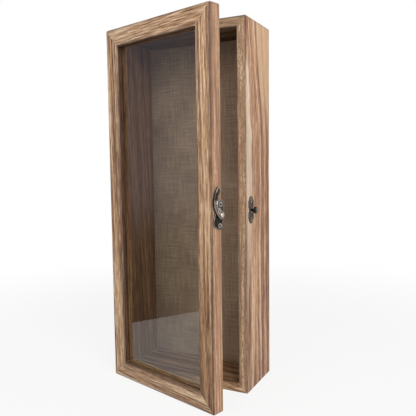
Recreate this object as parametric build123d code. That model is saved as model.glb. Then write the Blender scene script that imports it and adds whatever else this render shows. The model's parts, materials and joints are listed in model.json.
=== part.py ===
from build123d import *
import math
import os

# Shadow box frame: a mitred wooden case with a glazed door, two butt hinges and a swing hook latch.
# Millimetres, +Z up, front towards -Y. The origin is the centre of the case's footprint, on its bottom.

# Case
case_width = 180.0
case_height = 450.0
case_depth = 78.0
wall = 12.0
case_arris = 1.2
inner_arris = 0.6
board_fit = 0.3

# What closes the case at the rear
back_recess = 3.5
panel_thickness = 4.0
rabbet_width = 5.0
pinboard_thickness = 9.5
cloth_thickness = 1.0
cloth_corner = 0.7

# Door
door_thickness = 16.5
rail_width = 22.0
door_gap = 1.0
door_end_inset = 0.5
door_arris = 1.5
door_open_at_rest = 16.5
lip_depth = 7.0
glass_rabbet = 5.0
glass_thickness = 2.0
glass_margin = 0.6
bead_set_back = 0.3
bead_fit = 0.1

# Butt hinges
hinge_height = 32.0
hinge_from_end = 62.0
leaf_width = 10.0
leaf_thickness = 1.0
leaf_gap = 0.2
leaf_corner = 1.0
leaf_fit = 0.1
knuckle_count = 3
knuckle_gap = 0.2
barrel_radius = 2.0
barrel_clearance = 0.2
pin_radius = 1.0
pin_clearance = 0.05
pin_head_radius = 1.6
pin_head_height = 0.7

# Wood screws, countersunk with a cross recess, and the sides that small round metal is cut with
small_sides = 12
screw_clearance = 0.05
screw_sink = 0.05
screw_point = 0.3
recess_depth = 0.6
recess_width = 0.45
recess_span_share = 1.1
hinge_screw_head = 1.9
hinge_screw_shank = 1.0
hinge_screw_length = 8.0
hinge_screw_pitch = 18.0
hinge_screw_inset = 4.6
latch_screw_head = 2.1
latch_screw_shank = 1.1
latch_screw_length = 9.0
latch_screw_pitch = 23.2

# Framer's points that hold the back panel, brads and V nails
pin_fit = 0.03
point_thickness = 0.6
point_width = 6.0
point_overhang = 5.5
point_embed = 5.0
point_taper = 2.5
point_spacing = 125.0
point_end_margin = 34.5
brad_thickness = 1.0
brad_width = 1.2
brad_length = 11.0
brad_spacing = 140.0
brad_end_margin = 30.0
v_nail_thickness = 0.7
v_nail_depth = 8.0
case_v_nail_leg = 5.0
case_v_nail_inset = 2.2
door_v_nail_leg = 8.0
door_v_nail_inset = 6.0

# Swing hook latch on the door's free edge, in its own frame: across is towards the rear, up is +Z
latch_height = 224.5
pivot_from_front = 12.5
latch_lean = 4.0
plate_thickness = 1.2
plate_edge = 0.3
border_width = 0.9
relief_depth = 0.4
seat_width = 0.8
upper_lobe = 5.4
lower_lobe = 4.7
leaf_lobe = 6.2
leaf_lobe_across = -5.0
leaf_lobe_up = -8.2
waist_bite = 3.0
waist_depth = 1.2
hook_gap = 0.2
hook_thickness = 2.0
hook_hub = 4.4
hook_reach = 27.3
hook_tip_across = -4.4
hook_tip_radius = 3.3
hook_eye_radius = 1.2
hook_eye_depth = 1.0
hook_blend = 0.8
arm_bulge = 12.0
arm_bulge_up = 12.3
arm_width = 5.4
arm_hollow_up = 14.5
outer_leaves_hub = -100
outer_meets_tip = 165
inner_meets_tip = -55
inner_leaves_hub = 125
scroll_radius = 3.9
scroll_across = -4.0
scroll_up = 4.4
scroll_ring = 2.4
scroll_eye = 1.2
rivet_radius = 1.5
rivet_clearance = 0.05
rivet_head = 2.6
rivet_dome = 1.4
rivet_rim = 0.42

# Catch on the case's right side
catch_set_back = 12.0
catch_half_width = 7.0
catch_end_radius = 4.75
catch_shoulder = 3.0
catch_shoulder_up = 9.6
catch_bite = 4.0
catch_bite_depth = 1.8
peg_tail = 1.2
peg_neck = 1.7
peg_neck_spare = 1.4
peg_collar = 3.6
peg_head = 3.9
peg_head_thickness = 4.6
peg_rim = 2.2

# Hanger on the recessed back panel
hanger_length = 46.0
hanger_width = 10.0
hanger_thickness = 0.8
hanger_lift = 1.5
hanger_foot = 8.0
hanger_ramp = 2.2
hanger_from_top = 34.0
hanger_teeth = 9
hanger_tooth_depth = 1.6
hanger_nail_side = 1.4
hanger_nail_length = 8.0
hanger_nail_head = 2.2
hanger_nail_head_thickness = 0.7

# Places that follow from the sizes above
past = 5.0
near = 0.01
half_width = case_width / 2
front_y = -case_depth / 2
rear_y = case_depth / 2
inner_x = half_width - wall
rabbet_x = inner_x + rabbet_width
panel_rear = rear_y - back_recess
panel_front = panel_rear - panel_thickness
pinboard_front = panel_front - pinboard_thickness
hinge_y = front_y - door_gap / 2
hinge_x = -half_width - barrel_radius - barrel_clearance
hinge_heights = {"lower": hinge_from_end, "upper": case_height - hinge_from_end}
door_rear = front_y - door_gap
door_front = door_rear - door_thickness
door_low = door_end_inset
door_high = case_height - door_end_inset
opening_x = half_width - rail_width
opening_low = door_low + rail_width
opening_high = door_high - rail_width
glass_front = door_front + lip_depth
glass_rear = glass_front + glass_thickness
bead_rear = door_rear - bead_set_back
recess_into_wood = leaf_thickness - (door_gap - leaf_gap) / 2
hook_back = plate_thickness + hook_gap
hook_face = hook_back + hook_thickness

pieces = {}


def block(x, y, z):
    """A plain block between the low and high values of each direction."""
    low, high = zip(x, y, z)
    size = [b - a for a, b in zip(low, high)]
    middle = [(a + b) / 2 for a, b in zip(low, high)]
    return Pos(*middle) * Box(*size)


def mitred(ring, low, high, rail):
    """Cuts a rectangular ring at 45 degrees through its corners, into its four boards."""
    reach = rail + past
    corners = {
        "left": [(-half_width - past, low - past), (-half_width + reach, low + reach),
                 (-half_width + reach, high - reach), (-half_width - past, high + past)],
        "bottom": [(-half_width - past, low - past), (half_width + past, low - past),
                   (half_width - reach, low + reach), (-half_width + reach, low + reach)],
    }
    corners["right"] = [(-x, z) for x, z in corners["left"]]
    corners["top"] = [(x, low + high - z) for x, z in corners["bottom"]]
    span = case_depth + door_thickness
    boards = {}
    for side, points in corners.items():
        wedge = extrude(Plane.XZ * make_face(Polyline(*points, close=True)), amount=span, both=True)
        boards[side] = ring & wedge
    return boards


def v_nail(inset, leg, low, high, y_from, y_to, grow=0.0):
    """Angle-shaped nails across the four mitres, their points towards the outside corners."""
    nails = []
    for x_sign in (-1, 1):
        for z_sign, end in ((-1, low), (1, high)):
            x_tip = x_sign * (half_width - inset)
            z_tip = end - z_sign * inset
            thick = v_nail_thickness + grow
            upright = block(sorted((x_tip + x_sign * grow, x_tip - x_sign * thick)), (y_from, y_to),
                            sorted((z_tip + z_sign * grow, z_tip - z_sign * (leg + grow))))
            level = block(sorted((x_tip + x_sign * grow, x_tip - x_sign * (leg + grow))), (y_from, y_to),
                          sorted((z_tip + z_sign * grow, z_tip - z_sign * thick)))
            nails.append(upright + level)
    return nails


def mouth_edges(ring, y, x, low, high):
    """The ring's inner edges on one of its faces."""
    edges = ring.edges().filter_by_position(Axis.Y, y - near, y + near)
    return [e for e in edges if abs(e.center().X) < x + near and low - near < e.center().Z < high + near]


def spaced(low, high, margin, spacing):
    """Places between two ends, a margin in from each, no further apart than the spacing."""
    span = high - low - 2 * margin
    steps = max(1, math.ceil(span / spacing))
    return [low + margin + span * i / steps for i in range(steps + 1)]


def on_circle(centre, radius, degrees):
    angle = math.radians(degrees)
    return (centre[0] + radius * math.cos(angle), centre[1] + radius * math.sin(angle))


def flat_sided(rings):
    """A solid about Z whose flat sides run through rings, each given as a radius and a height."""
    step = 360 / small_sides
    loops = [[(*on_circle((0, 0), radius, step * i), z) for i in range(small_sides)] for radius, z in rings]
    faces = [make_face(Polyline(*loop, close=True)) for loop in (loops[0], loops[-1])]
    for above, below in zip(loops, loops[1:]):
        for i in range(small_sides):
            corners = (above[i - 1], above[i], below[i], below[i - 1])
            faces.append(make_face(Polyline(*corners, close=True)))
    return Solid(Shell([face.face() for face in faces]))


def screw_form(head, shank, length, grow=0.0):
    """A countersunk screw pointing down from z = 0, or the hole for it when it grows."""
    head, shank, point = head + grow, shank + grow, screw_point + grow
    return flat_sided([(head, 0), (shank, shank - head), (point, -length - grow)])


def wood_screw(head, shank, length):
    """The screw with its cross recess."""
    span = head * recess_span_share
    cross = Box(span, recess_width, 2 * recess_depth) + Box(recess_width, span, 2 * recess_depth)
    return screw_form(head, shank, length) - cross


def drive(places, head, shank, length, rests_on):
    """Cuts each place's hole in the named pieces and returns the seated screws."""
    screws = []
    for place in places:
        hole = place * screw_form(head, shank, length, screw_clearance)
        for name in rests_on:
            pieces[name] = pieces[name] - hole
        screws.append(place * Pos(0, 0, -screw_sink) * wood_screw(head, shank, length))
    return screws


def domed(radius, height, rim):
    """A round cap standing on z = 0: a rim under part of a ball."""
    rise = height - rim
    ball = (radius ** 2 + rise ** 2) / (2 * rise)
    half_turn = math.asin(min(1, radius / ball)) / 2
    shoulder = (ball * math.sin(half_turn), height - ball + ball * math.cos(half_turn))
    section = [Line((0, height), (0, 0)), Line((0, 0), (radius, 0)), Line((radius, 0), (radius, rim)),
               ThreePointArc((radius, rim), shoulder, (0, height))]
    return revolve(Plane.XZ * make_face(Wire(section)), Axis.Z)


# Case boards
envelope = block((-half_width, half_width), (front_y, rear_y), (0, case_height))
envelope = chamfer(envelope.edges(), case_arris)
hollow = block((-inner_x, inner_x), (front_y - past, rear_y + past), (wall, case_height - wall))
rabbet = block((-rabbet_x, rabbet_x), (panel_front, rear_y + past),
               (wall - rabbet_width, case_height - wall + rabbet_width))
case_ring = envelope - hollow - rabbet
case_ring = chamfer(mouth_edges(case_ring, front_y, inner_x, wall, case_height - wall), inner_arris)
for side, board in mitred(case_ring, 0, case_height, wall).items():
    pieces[f"case_{side}_wall"] = board

# Rear of the case: panel in the rabbet, pinboard glued to it, cloth stretched over the pinboard
panel_x = rabbet_x - board_fit
panel_low = wall - rabbet_width + board_fit
pieces["back_panel"] = block((-panel_x, panel_x), (panel_front, panel_rear),
                             (panel_low, case_height - panel_low))
cloth_x = inner_x - board_fit
cloth_low = wall + board_fit
board_x = cloth_x - cloth_thickness
board_low = cloth_low + cloth_thickness
pieces["backing_board"] = block((-board_x, board_x), (pinboard_front, panel_front),
                                (board_low, case_height - board_low))
cloth_block = block((-cloth_x, cloth_x), (pinboard_front - cloth_thickness, panel_front),
                    (cloth_low, case_height - cloth_low))
cloth_front = cloth_block.faces().sort_by(Axis.Y)[0]
pieces["backing_cloth"] = chamfer(cloth_front.edges(), cloth_corner) - pieces["backing_board"]

# Framer's points pressed into the rabbet's side, flat on the rear of the panel
point_x = wall - rabbet_width
turns = {"right": 0, "left": 180, "top": -90, "bottom": 90}
half_point = point_width / 2
seats = []
for z in spaced(point_x, case_height - point_x, point_end_margin, point_spacing):
    seats += [("right", rabbet_x, z), ("left", -rabbet_x, z)]
for x in spaced(-rabbet_x, rabbet_x, point_end_margin, point_spacing):
    seats += [("top", x, case_height - point_x), ("bottom", x, point_x)]


def framer_point(grow=0.0):
    """A flat steel point, its end towards +X, or the slot for it when it grows."""
    half, end = half_point + grow, point_embed + grow
    outline = Polyline((-point_overhang, -half), (end - point_taper, -half), (end, 0),
                       (end - point_taper, half), (-point_overhang, half), close=True)
    return Pos(0, -grow, 0) * extrude(Plane.XZ * make_face(outline), amount=-point_thickness - 2 * grow)


points = []
for side, x, z in seats:
    seat = Pos(x, panel_rear, z) * Rot(0, turns[side], 0)
    pieces[f"case_{side}_wall"] = pieces[f"case_{side}_wall"] - seat * framer_point(pin_fit)
    points.append(seat * framer_point())
pieces["back_panel_points"] = Compound(points)

# V nails across the case's mitres
slots = v_nail(case_v_nail_inset, case_v_nail_leg, 0, case_height,
               rear_y - v_nail_depth - pin_fit, rear_y + past, pin_fit)
for name in [n for n in pieces if n.endswith("_wall")]:
    for slot in slots:
        pieces[name] = pieces[name] - slot
pieces["case_corner_v_nails"] = Compound(
    v_nail(case_v_nail_inset, case_v_nail_leg, 0, case_height, rear_y - v_nail_depth, rear_y))

# Door frame, closed: mitred rails with a rabbet behind the lip for the glass and its beads
door_box = block((-half_width, half_width), (door_front, door_rear), (door_low, door_high))
door_box = chamfer(door_box.edges(), door_arris)
sight = block((-opening_x, opening_x), (door_front - past, door_rear + past), (opening_low, opening_high))
glass_seat = block((-opening_x - glass_rabbet, opening_x + glass_rabbet), (glass_front, door_rear + past),
                   (opening_low - glass_rabbet, opening_high + glass_rabbet))
door_ring = door_box - sight - glass_seat
door_ring = chamfer(mouth_edges(door_ring, door_front, opening_x, opening_low, opening_high), inner_arris)
door_names = {"left": "door_hinge_stile", "right": "door_latch_stile", "top": "door_top_rail",
              "bottom": "door_bottom_rail"}
for side, board in mitred(door_ring, door_low, door_high, rail_width).items():
    pieces[door_names[side]] = board

# Glass and the beads that hold it
glass_x = opening_x + glass_rabbet - glass_margin
glass_low = opening_low - glass_rabbet + glass_margin
pieces["door_glass"] = block((-glass_x, glass_x), (glass_front, glass_rear),
                             (glass_low, door_low + door_high - glass_low))
bead_x = opening_x + glass_rabbet - bead_fit
bead_low = opening_low - glass_rabbet + bead_fit
bead_ring = block((-bead_x, bead_x), (glass_rear, bead_rear), (bead_low, door_low + door_high - bead_low))
bead_ring = bead_ring - sight
bead_ring = chamfer(mouth_edges(bead_ring, bead_rear, opening_x, opening_low, opening_high), inner_arris)
for side, board in mitred(bead_ring, door_low, door_high, rail_width).items():
    pieces[f"glazing_bead_{side}"] = board

# Headless brads from each bead's inner face into its rail
brad_y = (glass_rear + bead_rear) / 2
brads = []
for side, turn in {"left": (0, -90, 0), "right": (0, 90, 0)}.items():
    x = opening_x if side == "right" else -opening_x
    for z in spaced(opening_low, opening_high, brad_end_margin, brad_spacing):
        brads.append((side, Pos(x, brad_y, z) * Rot(*turn)))
for side, turn in {"top": (0, 0, 0), "bottom": (180, 0, 0)}.items():
    z = opening_high if side == "top" else opening_low
    for x in spaced(-opening_x, opening_x, brad_end_margin, brad_spacing):
        brads.append((side, Pos(x, brad_y, z) * Rot(*turn)))
brad = Pos(0, 0, brad_length / 2) * Box(brad_width, brad_thickness, brad_length)
brad_hole = Pos(0, 0, brad_length / 2) * Box(brad_width + 2 * pin_fit, brad_thickness + 2 * pin_fit,
                                             brad_length + 2 * pin_fit)
for side, seat in brads:
    for name in (door_names[side], f"glazing_bead_{side}"):
        pieces[name] = pieces[name] - seat * brad_hole
pieces["bead_brads"] = Compound([seat * brad for side, seat in brads])

# V nails across the door's mitres, from its rear
slots = v_nail(door_v_nail_inset, door_v_nail_leg, door_low, door_high,
               door_rear - v_nail_depth - pin_fit, door_rear + past, pin_fit)
for name in door_names.values():
    for slot in slots:
        pieces[name] = pieces[name] - slot
pieces["door_corner_v_nails"] = Compound(
    v_nail(door_v_nail_inset, door_v_nail_leg, door_low, door_high, door_rear - v_nail_depth, door_rear))


def hinge_leaf(first_knuckle, middle_z, toward):
    """One leaf with every second knuckle; toward is 1 for the case's leaf and -1 for the door's."""
    length = (hinge_height - (knuckle_count - 1) * knuckle_gap) / knuckle_count
    bottom = middle_z - hinge_height / 2
    start = hinge_x + barrel_radius + barrel_clearance
    span_y = sorted((hinge_y + toward * leaf_gap / 2, hinge_y + toward * (leaf_gap / 2 + leaf_thickness)))
    leaf = block((start, -half_width + leaf_width), span_y, (bottom, bottom + hinge_height))
    far = leaf.edges().filter_by(Axis.Y).sort_by(Axis.X)[-2:]
    leaf = fillet(far, leaf_corner)
    for i in range(first_knuckle, knuckle_count, 2):
        low = bottom + i * (length + knuckle_gap)
        leaf = leaf + block((hinge_x, start + leaf_corner), span_y, (low, low + length))
        leaf = leaf + Pos(hinge_x, hinge_y, low + length / 2) * Cylinder(barrel_radius, length)
    bore = Pos(hinge_x, hinge_y, middle_z) * Cylinder(pin_radius + pin_clearance, 2 * hinge_height)
    return leaf - bore


def hinge_mortise(middle_z, toward):
    """The shallow recess in the wood that a leaf is let into."""
    seat = hinge_y + toward * (leaf_gap / 2 + leaf_thickness)
    half = hinge_height / 2 + leaf_fit
    return block((-half_width - past, -half_width + leaf_width + leaf_fit),
                 sorted((seat, hinge_y - toward * past)), (middle_z - half, middle_z + half))


# Hinges, let into the case's front rim and the door's rear
case_hinge_screws = []
door_hinge_screws = []
screw_x = -half_width + hinge_screw_inset
for which, z in hinge_heights.items():
    pieces["case_left_wall"] = pieces["case_left_wall"] - hinge_mortise(z, 1)
    pieces["door_hinge_stile"] = pieces["door_hinge_stile"] - hinge_mortise(z, -1)
    pieces[f"{which}_hinge_case_leaf"] = hinge_leaf(0, z, 1)
    pieces[f"{which}_hinge_door_leaf"] = hinge_leaf(1, z, -1)
    head = Pos(0, 0, (hinge_height + pin_head_height) / 2) * Cylinder(pin_head_radius, pin_head_height)
    pieces[f"{which}_hinge_pin"] = Pos(hinge_x, hinge_y, z) * (Cylinder(pin_radius, hinge_height) + head)
    levels = [z - hinge_screw_pitch / 2, z + hinge_screw_pitch / 2]
    in_case = [Pos(screw_x, hinge_y + leaf_gap / 2, level) * Rot(90, 0, 0) for level in levels]
    in_door = [Pos(screw_x, hinge_y - leaf_gap / 2, level) * Rot(-90, 0, 0) for level in levels]
    case_hinge_screws += drive(in_case, hinge_screw_head, hinge_screw_shank, hinge_screw_length,
                               ["case_left_wall", f"{which}_hinge_case_leaf"])
    door_hinge_screws += drive(in_door, hinge_screw_head, hinge_screw_shank, hinge_screw_length,
                               ["door_hinge_stile", f"{which}_hinge_door_leaf"])
pieces["case_hinge_screws"] = Compound(case_hinge_screws)
pieces["door_hinge_screws"] = Compound(door_hinge_screws)


def side_frame(y, z):
    """A frame on the right side: its X is towards the rear, its Y is up, its Z is out of the wood."""
    return Plane(origin=(half_width, y, z), x_dir=(0, 1, 0), z_dir=(1, 0, 0))


def disc(radius, across=0.0, up=0.0):
    return Pos(across, up) * Circle(radius)


def cast_form(outline, thickness, raised, blend=0.0):
    """A cast plate with an eased edge, and a field sunk inside its border and round what stays raised."""
    field = offset(outline, -border_width)
    if blend:
        outline = fillet(outline.vertices(), blend)
    solid = extrude(outline, amount=thickness)
    solid = chamfer(solid.faces().sort_by(Axis.Z)[-1].edges(), plate_edge)
    for shape in raised:
        field = field - shape
    return solid - Pos(0, 0, thickness - relief_depth) * extrude(field, amount=thickness)


# Latch plate on the door's free edge, its screws on a line that leans with the plate
latch = Location(side_frame(door_front + pivot_from_front, latch_height))
half_pitch = latch_screw_pitch / 2
lean = math.radians(latch_lean)
screw_spots = [(sign * half_pitch * math.sin(lean), sign * half_pitch * math.cos(lean)) for sign in (-1, 1)]
lower_spot, upper_spot = screw_spots
lobes = [disc(upper_lobe, *upper_spot), disc(lower_lobe, *lower_spot),
         disc(leaf_lobe, leaf_lobe_across, leaf_lobe_up)]
plate_outline = make_hull([e for lobe in lobes for e in lobe.edges()])
bite_across = (upper_lobe + upper_spot[0] + lower_lobe + lower_spot[0]) / 2 + waist_bite - waist_depth
screw_seat = latch_screw_head + seat_width
latch_seats = [disc(screw_seat, *spot) for spot in screw_spots] + [disc(hook_hub)]
latch_plate = cast_form(plate_outline - disc(waist_bite, bite_across), plate_thickness, latch_seats)
rivet_hole = Cylinder(rivet_radius + pin_fit, 4 * hook_face)
pieces["latch_plate"] = latch * (latch_plate - rivet_hole)
screw_seats = [latch * Pos(across, up, plate_thickness) for across, up in screw_spots]
pieces["latch_screws"] = Compound(drive(screw_seats, latch_screw_head, latch_screw_shank, latch_screw_length,
                                        ["latch_plate", "door_latch_stile"]))

# Rivet: a shank from the plate's back to the hook's face, and a domed head over the hook
rivet = Pos(0, 0, (hook_face + hook_gap) / 2) * Cylinder(rivet_radius, hook_face + hook_gap)
rivet = rivet + Pos(0, 0, hook_face + hook_gap) * domed(rivet_head, rivet_dome, rivet_rim)
pieces["latch_rivet"] = latch * rivet


# Hook, standing up: a hub on the rivet, a crescent arm that bulges forward, and a curled tip
tip = (hook_tip_across, hook_reach)
outer_arm = ThreePointArc(on_circle((0, 0), hook_hub, outer_leaves_hub), (-arm_bulge, arm_bulge_up),
                          on_circle(tip, hook_tip_radius, outer_meets_tip))
inner_arm = ThreePointArc(on_circle(tip, hook_tip_radius, inner_meets_tip),
                          (arm_width - arm_bulge, arm_hollow_up),
                          on_circle((0, 0), hook_hub, inner_leaves_hub))
arm = make_face(Wire([outer_arm, Line(outer_arm @ 1, inner_arm @ 0), inner_arm,
                      Line(inner_arm @ 1, outer_arm @ 0)]))
hook_outline = arm + disc(hook_hub) + disc(hook_tip_radius, *tip)
hook_outline = hook_outline + disc(scroll_radius, scroll_across, scroll_up)
scroll = disc(scroll_ring, scroll_across, scroll_up) - disc(scroll_eye, scroll_across, scroll_up)
hook = cast_form(hook_outline, hook_thickness, [disc(rivet_head + seat_width), scroll], hook_blend)
hook = hook - Pos(*tip, hook_thickness) * Cylinder(hook_eye_radius, 2 * hook_eye_depth)
hook = hook - Cylinder(rivet_radius + rivet_clearance, 4 * hook_thickness)
pieces["latch_hook"] = latch * Pos(0, 0, hook_back) * hook

# Catch plate, level with the hook's rivet
catch = Location(side_frame(front_y + catch_set_back, latch_height))
ends = [disc(catch_end_radius, 0, sign * half_pitch) for sign in (-1, 1)]
shoulder_x = catch_half_width - catch_shoulder
shoulders = [disc(catch_shoulder, x, z) for x in (-shoulder_x, shoulder_x)
             for z in (-catch_shoulder_up, catch_shoulder_up)]
catch_outline = make_hull([e for lobe in ends + shoulders for e in lobe.edges()])
bite_x = catch_half_width + catch_bite - catch_bite_depth
catch_outline = catch_outline - disc(catch_bite, -bite_x) - disc(catch_bite, bite_x)
catch_raised = [disc(screw_seat, 0, sign * half_pitch) for sign in (-1, 1)] + [disc(peg_collar)]
catch_plate = cast_form(catch_outline, plate_thickness, catch_raised)
peg_hole = Cylinder(peg_tail + pin_fit, 4 * plate_thickness)
pieces["catch_plate"] = catch * (catch_plate - peg_hole)
catch_seats = [catch * Pos(0, sign * half_pitch, plate_thickness) for sign in (-1, 1)]
pieces["catch_screws"] = Compound(drive(catch_seats, latch_screw_head, latch_screw_shank, latch_screw_length,
                                        ["catch_plate", "case_right_wall"]))

# Peg: a neck for the hook to drop over and a domed head that keeps it there
neck_top = hook_face + peg_neck_spare
neck_height = neck_top - plate_thickness
peg = Pos(0, 0, plate_thickness / 2) * Cylinder(peg_tail, plate_thickness)
peg = peg + Pos(0, 0, plate_thickness + neck_height / 2) * Cylinder(peg_neck, neck_height)
peg = peg + Pos(0, 0, neck_top) * domed(peg_head, peg_head_thickness, peg_rim)
pieces["catch_peg"] = catch * peg

# Sawtooth hanger on the recessed panel: flat feet, a raised bar between them, teeth along its lower edge
half_bar = hanger_length / 2
rise_start = half_bar - hanger_foot
under = [(-half_bar, 0), (-rise_start, 0), (-rise_start + hanger_ramp, hanger_lift),
         (rise_start - hanger_ramp, hanger_lift), (rise_start, 0), (half_bar, 0)]
over = [(x, y + hanger_thickness) for x, y in reversed(under)]
hanger = extrude(make_face(Polyline(*under, *over, close=True)), amount=hanger_width)
pitch = 2 * (rise_start - hanger_ramp) / hanger_teeth
for i in range(hanger_teeth):
    left = -rise_start + hanger_ramp + i * pitch
    notch = Polyline((left, 0), (left + pitch, 0), (left + pitch / 2, hanger_tooth_depth), close=True)
    tooth_gap = Plane.XZ * Pos(0, 0, -hanger_lift - hanger_thickness - past) * make_face(notch)
    hanger = hanger - extrude(tooth_gap, amount=-2 * (hanger_lift + hanger_thickness + past), both=True)
hanger_seat = Pos(0, panel_rear, case_height - hanger_from_top)
pieces["sawtooth_hanger"] = hanger_seat * hanger

# The hanger's nails, through its feet and the panel into the pinboard
nail_end = hanger_thickness - hanger_nail_length
nail_hole = Box(hanger_nail_side + 2 * pin_fit, hanger_nail_side + 2 * pin_fit, -2 * nail_end + 2 * pin_fit)
nail_head = flat_sided([(hanger_nail_head, hanger_nail_head_thickness), (hanger_nail_head, 0)])
nail_shank = Pos(0, 0, -hanger_nail_length / 2) * Box(hanger_nail_side, hanger_nail_side, hanger_nail_length)
nails = []
for sign in (-1, 1):
    spot = hanger_seat * Pos(sign * (half_bar - hanger_foot / 2), 0, hanger_width / 2) * Rot(-90, 0, 0)
    for name in ("sawtooth_hanger", "back_panel", "backing_board"):
        pieces[name] = pieces[name] - spot * nail_hole
    nails.append(spot * Pos(0, 0, hanger_thickness) * (nail_head + nail_shank))
pieces["hanger_nails"] = Compound(nails)

# The door stands partly open: everything on it turns about the hinges' axis
on_door = set(door_names.values()) | {n for n in pieces if n.startswith("glazing_bead") or "door" in n}
on_door |= {"bead_brads", "latch_plate", "latch_screws", "latch_rivet", "latch_hook"}
swing = Pos(hinge_x, hinge_y, 0) * Rot(0, 0, -door_open_at_rest) * Pos(-hinge_x, -hinge_y, 0)
for name in on_door:
    pieces[name] = swing * pieces[name]

# One file for each piece or group of like fasteners
os.makedirs("parts", exist_ok=True)
for name, shape in pieces.items():
    export_step(shape, f"parts/{name}.step")
pivot = (swing * latch).position
print("hinge axis", round(hinge_x, 3), round(hinge_y, 3), "hook pivot", pivot)
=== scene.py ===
# %% [markdown]
# A tall shadow box frame: a mitred case of torched wood with a linen-covered back, a glazed door on two
# small butt hinges, and a cast swing hook that drops over a peg on the case's side. The construction comes
# from the packed model, so every board, pin and screw already has its place. This lesson gives each of them
# its finish, and remakes the pieces whose shape is finer than the construction needs: the cloth, the cast
# latch, the hinges and the screws.
#
# %% Load the packed model
import json
import math
from types import SimpleNamespace
import bmesh
import bpy
from mathutils import Matrix, Vector, noise


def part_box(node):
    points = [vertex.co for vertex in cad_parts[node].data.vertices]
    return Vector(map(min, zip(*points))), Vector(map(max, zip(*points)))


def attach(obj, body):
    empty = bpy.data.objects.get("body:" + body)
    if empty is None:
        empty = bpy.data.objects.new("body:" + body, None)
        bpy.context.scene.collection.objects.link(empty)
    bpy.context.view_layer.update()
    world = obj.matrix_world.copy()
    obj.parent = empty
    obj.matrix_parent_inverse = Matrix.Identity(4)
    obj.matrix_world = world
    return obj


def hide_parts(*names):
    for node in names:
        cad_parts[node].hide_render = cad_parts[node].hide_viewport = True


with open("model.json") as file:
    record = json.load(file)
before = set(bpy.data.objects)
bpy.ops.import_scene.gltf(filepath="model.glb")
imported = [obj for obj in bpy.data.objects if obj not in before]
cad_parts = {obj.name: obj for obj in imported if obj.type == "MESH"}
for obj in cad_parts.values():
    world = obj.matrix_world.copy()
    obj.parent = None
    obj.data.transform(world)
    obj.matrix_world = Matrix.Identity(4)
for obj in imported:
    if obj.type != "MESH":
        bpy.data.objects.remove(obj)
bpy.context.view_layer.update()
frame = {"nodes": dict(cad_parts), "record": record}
nodes = frame["nodes"]
mm = 0.001

# %% [markdown]
# The camera comes first, because everything is compared through it. A camera is a place, three turns and a
# lens. It could be aimed with a tracking constraint, but that leaves no roll, so its matrix is built from
# the direction that it looks in. Blender's camera looks along its own -Z with +Y up, and the three columns
# of the matrix are its right, its up and its back.
#
# %% Camera
camera_place = Vector((0.3243, -0.6099, 0.2819))
camera_yaw = math.radians(-26.57)
camera_pitch = math.radians(-4.98)
camera_roll = math.radians(-0.68)
camera_lens = 45.33
film_width = 36

forward = Vector((math.sin(camera_yaw) * math.cos(camera_pitch),
                  math.cos(camera_yaw) * math.cos(camera_pitch), math.sin(camera_pitch)))
level = Vector((math.cos(camera_yaw), -math.sin(camera_yaw), 0))
above = level.cross(forward)
right = math.cos(camera_roll) * level + math.sin(camera_roll) * above
upward = math.cos(camera_roll) * above - math.sin(camera_roll) * level
camera_turn = Matrix((right, upward, -forward)).transposed().to_4x4()

camera_data = bpy.data.cameras.new("photo_camera")
camera_data.sensor_width = film_width
camera_data.lens = camera_lens
camera_data.clip_start = 10 * mm
camera = bpy.data.objects.new("photo_camera", camera_data)
camera.matrix_world = Matrix.Translation(camera_place) @ camera_turn
bpy.context.scene.collection.objects.link(camera)
bpy.context.scene.camera = camera
bpy.context.scene.view_settings.view_transform = "Standard"
print("the camera looks along", [round(v, 3) for v in forward])


# %% [markdown]
# Finishes are node trees, and long trees of Math nodes are hard to read, in the editor and as one call for
# each node alike. So one small class wraps a socket and lets Python's own operators add the nodes: a mask
# is then written as a sum. It has the operators that this object's finishes use, and their reflected forms,
# so that 1 - mask works too.
#
# %% A socket that can be added and multiplied
class Signal:
    """An output socket of a shader's node, as a number that changes over a surface."""

    def __init__(self, shader, socket):
        self.shader = shader
        self.socket = socket

    def maths(self, operation, *values):
        return self.shader.add("ShaderNodeMath", {"operation": operation}, dict(enumerate((self, *values))))

    def __add__(self, other):
        return self.maths("ADD", other)

    def __sub__(self, other):
        return self.maths("SUBTRACT", other)

    def __rsub__(self, other):
        return self.maths("MULTIPLY_ADD", -1.0, other)

    def __mul__(self, other):
        return self.maths("MULTIPLY", other)

    def __abs__(self):
        return self.maths("ABSOLUTE")

    def least(self, other):
        return self.maths("MINIMUM", other)

    def most(self, other):
        return self.maths("MAXIMUM", other)

    def root(self):
        return self.maths("SQRT")

    def sine(self):
        return self.maths("SINE")

    def rise(self, low, high):
        """0 below low, 1 above high, and a smooth rise between."""
        return self.shader.add("ShaderNodeMapRange", {"interpolation_type": "SMOOTHSTEP"},
                               {"Value": self, "From Min": low, "From Max": high})

    def fall(self, low, high):
        """1 below low, 0 above high, and a smooth fall between."""
        return 1 - self.rise(low, high)

    __radd__ = __add__
    __rmul__ = __mul__


print("a signal can", ", ".join(name for name in vars(Signal) if not name.startswith("_")))


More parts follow.
